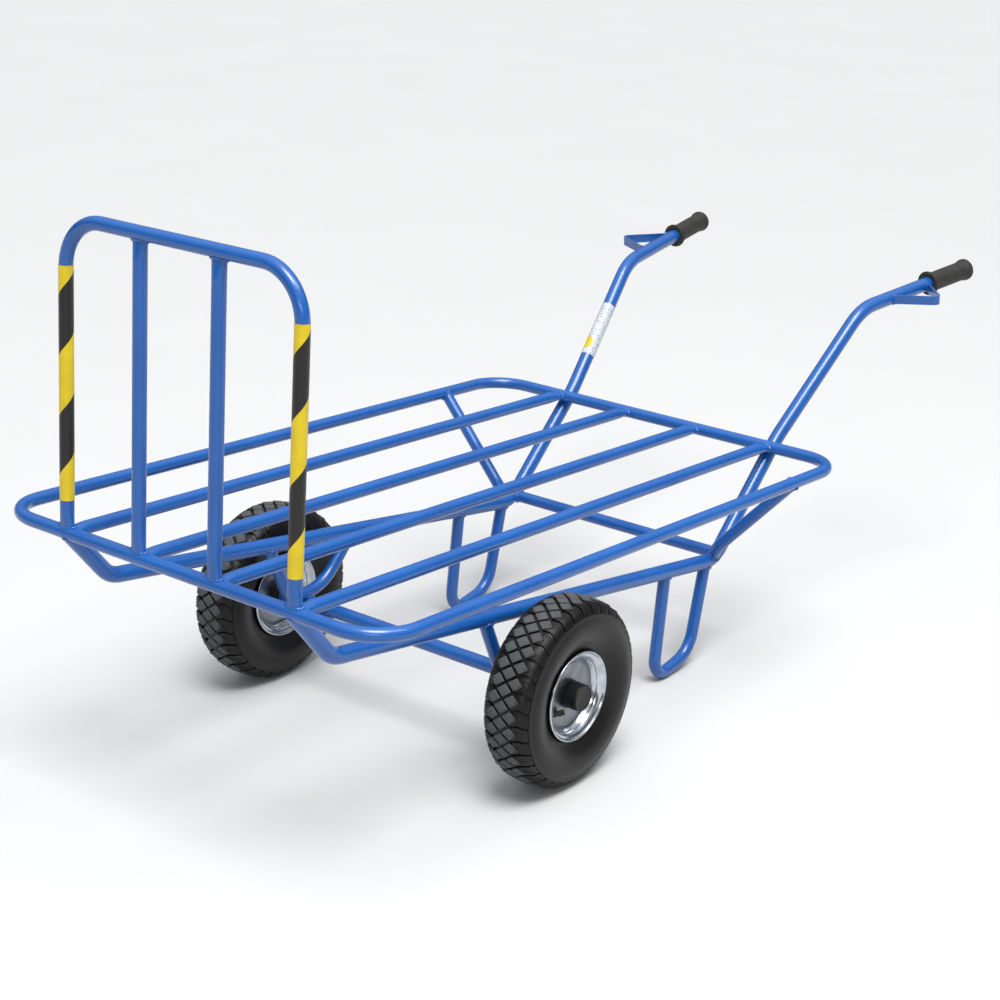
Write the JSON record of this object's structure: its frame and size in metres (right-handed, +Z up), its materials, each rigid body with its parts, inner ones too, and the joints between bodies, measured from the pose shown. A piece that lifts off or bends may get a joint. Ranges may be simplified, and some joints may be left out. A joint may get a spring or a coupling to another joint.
{
  "type": "two-wheeled platform barrow",
  "caption": "Tubular steel hand barrow with an open slatted deck, upright headboard, two pneumatic wheels, hairpin legs and long handles with hand guards.",
  "frame": {"origin": "middle of the whole barrow's length and width, on the ground", "axes": "+Z up, +Y from the headboard to the handles, +X to the user's left"},
  "size_m": [0.668, 1.5454, 0.7709],
  "materials": {
    "blue_paint": "gloss powder coat over steel tube",
    "tyre_rubber": "moulded black rubber",
    "butyl_rubber": "soft black rubber",
    "grip_rubber": "matt ribbed rubber",
    "hazard_tape": "yellow and black diagonal adhesive tape",
    "label_film": "plain white vinyl film",
    "zinc_plated_rim": "bright zinc plate on pressed steel",
    "zinc_fastener": "zinc plate",
    "black_nylon": "moulded nylon",
    "black_plastic": "moulded polyethylene"
  },
  "bodies": {
    "frame": {"axle_bar": "blue_paint", "axle_bracket_left": "blue_paint", "axle_bracket_right": "blue_paint", "brace_left": "blue_paint", "brace_right": "blue_paint", "deck_ring": "blue_paint", "deck_slat_1": "blue_paint", "deck_slat_2": "blue_paint", "deck_slat_3": "blue_paint", "deck_slat_4": "blue_paint", "grip_left": "grip_rubber", "grip_right": "grip_rubber", "hand_guard_left": "blue_paint", "hand_guard_right": "blue_paint", "hazard_tape_left": "hazard_tape", "hazard_tape_right": "hazard_tape", "headboard_hoop": "blue_paint", "headboard_post_left": "blue_paint", "headboard_post_right": "blue_paint", "label": "label_film", "leg_left": "blue_paint", "leg_right": "blue_paint", "rear_cross_tube": "blue_paint", "side_rail_left": "blue_paint", "side_rail_right": "blue_paint", "split_pin_left": "zinc_fastener", "split_pin_right": "zinc_fastener", "washer_inner_left": "zinc_fastener", "washer_inner_right": "zinc_fastener", "washer_outer_left": "zinc_fastener", "washer_outer_right": "zinc_fastener"},
    "wheel_left": {"tyre_left": "tyre_rubber", "inner_tube_left": "butyl_rubber", "rim_outer_left": "zinc_plated_rim", "rim_inner_left": "zinc_plated_rim", "disc_outer_left": "zinc_plated_rim", "disc_inner_left": "zinc_plated_rim", "hub_left": "black_nylon", "bush_outer_left": "black_nylon", "bush_inner_left": "black_nylon", "hub_cap_left": "black_plastic", "valve_stem_left": "butyl_rubber", "valve_cap_left": "black_plastic"},
    "wheel_right": {"tyre_right": "tyre_rubber", "inner_tube_right": "butyl_rubber", "rim_outer_right": "zinc_plated_rim", "rim_inner_right": "zinc_plated_rim", "disc_outer_right": "zinc_plated_rim", "disc_inner_right": "zinc_plated_rim", "hub_right": "black_nylon", "bush_outer_right": "black_nylon", "bush_inner_right": "black_nylon", "hub_cap_right": "black_plastic", "valve_stem_right": "butyl_rubber", "valve_cap_right": "black_plastic"}
  },
  "joints": [
    {"name": "wheel_left_spin", "type": "hinge", "parent": "frame", "child": "wheel_left", "pos_m": [0.263, -0.33437, 0.13], "axis": [1, 0, 0], "continuous": true},
    {"name": "wheel_right_spin", "type": "hinge", "parent": "frame", "child": "wheel_right", "pos_m": [-0.263, -0.33437, 0.13], "axis": [1, 0, 0], "continuous": true}
  ]
}
